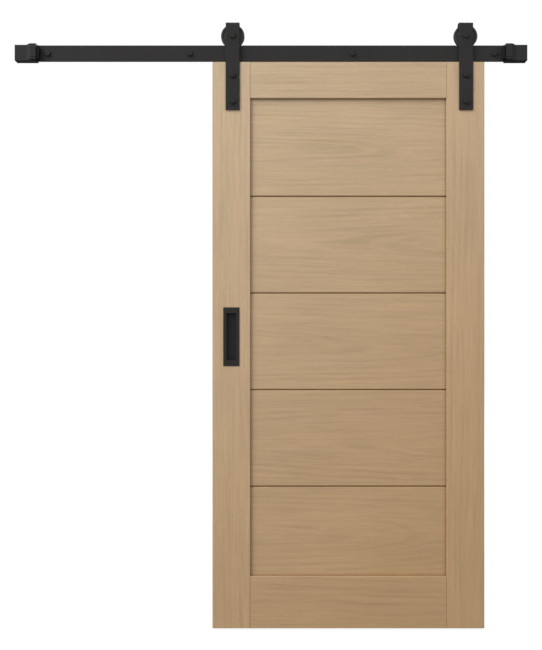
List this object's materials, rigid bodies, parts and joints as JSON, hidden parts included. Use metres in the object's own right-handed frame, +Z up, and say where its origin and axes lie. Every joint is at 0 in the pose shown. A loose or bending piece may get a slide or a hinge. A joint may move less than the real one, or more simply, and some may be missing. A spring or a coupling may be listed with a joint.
{
  "type": "sliding barn door with flat track",
  "caption": "Oak plank door on black flat-track hardware: grooved wheels in U-bent straps roll on a wall rail between rubber-faced stops.",
  "frame": {"origin": "on the wall face, at the middle of the rail's bolt line", "axes": "+X along the rail to the right as seen from the room, +Y into the wall, +Z up"},
  "size_m": [1.829, 0.118, 2.199],
  "materials": {
    "stile_oak": "satin clear lacquer",
    "rail_oak": "satin clear lacquer",
    "plank_oak": "satin clear lacquer",
    "dowel_wood": "bare",
    "rubber": "matt",
    "zinc_steel": "zinc plated",
    "bearing_steel": "ground",
    "cage_brass": "plain",
    "wheel_black": "black powder coat",
    "fastener_black": "black oxide",
    "pull_black": "black powder coat",
    "steel_black": "black powder coat"
  },
  "bodies": {
    "track": {"track_rail": "steel_black", "wall_spacer_1": "steel_black", "wall_spacer_2": "steel_black", "wall_spacer_3": "steel_black", "wall_spacer_4": "steel_black", "lag_bolt_1": "fastener_black", "lag_bolt_2": "fastener_black", "lag_bolt_3": "fastener_black", "lag_bolt_4": "fastener_black", "left_end_stop": "steel_black", "left_buffer": "rubber", "left_clamp_screw": "fastener_black", "left_grub_screws": "fastener_black", "right_end_stop": "steel_black", "right_buffer": "rubber", "right_clamp_screw": "fastener_black", "right_grub_screws": "fastener_black", "floor_guide": "steel_black", "guide_screws": "zinc_steel"},
    "door": {"left_stile": "stile_oak", "right_stile": "stile_oak", "top_rail": "rail_oak", "bottom_rail": "rail_oak", "plank_1": "plank_oak", "plank_2": "plank_oak", "plank_3": "plank_oak", "plank_4": "plank_oak", "plank_5": "plank_oak", "joint_dowels": "dowel_wood", "flush_pull": "pull_black", "pull_screws": "fastener_black", "left_strap": "steel_black", "left_strap_bolts": "fastener_black", "left_barrel_nuts": "fastener_black", "left_axle_bolt": "fastener_black", "left_axle_bushes": "zinc_steel", "left_axle_nut": "fastener_black", "left_bearing_inner": "bearing_steel", "left_jump_disc": "steel_black", "left_jump_screw": "zinc_steel", "right_strap": "steel_black", "right_strap_bolts": "fastener_black", "right_barrel_nuts": "fastener_black", "right_axle_bolt": "fastener_black", "right_axle_bushes": "zinc_steel", "right_axle_nut": "fastener_black", "right_bearing_inner": "bearing_steel", "right_jump_disc": "steel_black", "right_jump_screw": "zinc_steel"},
    "left_roller": {"left_wheel": "wheel_black", "left_bearing_outer": "bearing_steel", "left_bearing_balls": "bearing_steel", "left_bearing_cage": "cage_brass", "left_bearing_seals": "rubber"},
    "right_roller": {"right_wheel": "wheel_black", "right_bearing_outer": "bearing_steel", "right_bearing_balls": "bearing_steel", "right_bearing_cage": "cage_brass", "right_bearing_seals": "rubber"}
  },
  "joints": [
    {"name": "door_slide", "type": "slide", "parent": "track", "child": "door", "axis": [1, 0, 0], "range_m": [-0.6644, 0.1044]},
    {"name": "left_wheel_spin", "type": "hinge", "parent": "door", "child": "left_roller", "pos_m": [-0.137, -0.037, 0.0613], "axis": [0, 1, 0], "continuous": true},
    {"name": "right_wheel_spin", "type": "hinge", "parent": "door", "child": "right_roller", "pos_m": [0.697, -0.037, 0.0613], "axis": [0, 1, 0], "continuous": true}
  ],
  "couplings": [
    {"joint": "left_wheel_spin", "follows": "door_slide", "rad_per_m": 31.25},
    {"joint": "right_wheel_spin", "follows": "door_slide", "rad_per_m": 31.25}
  ]
}
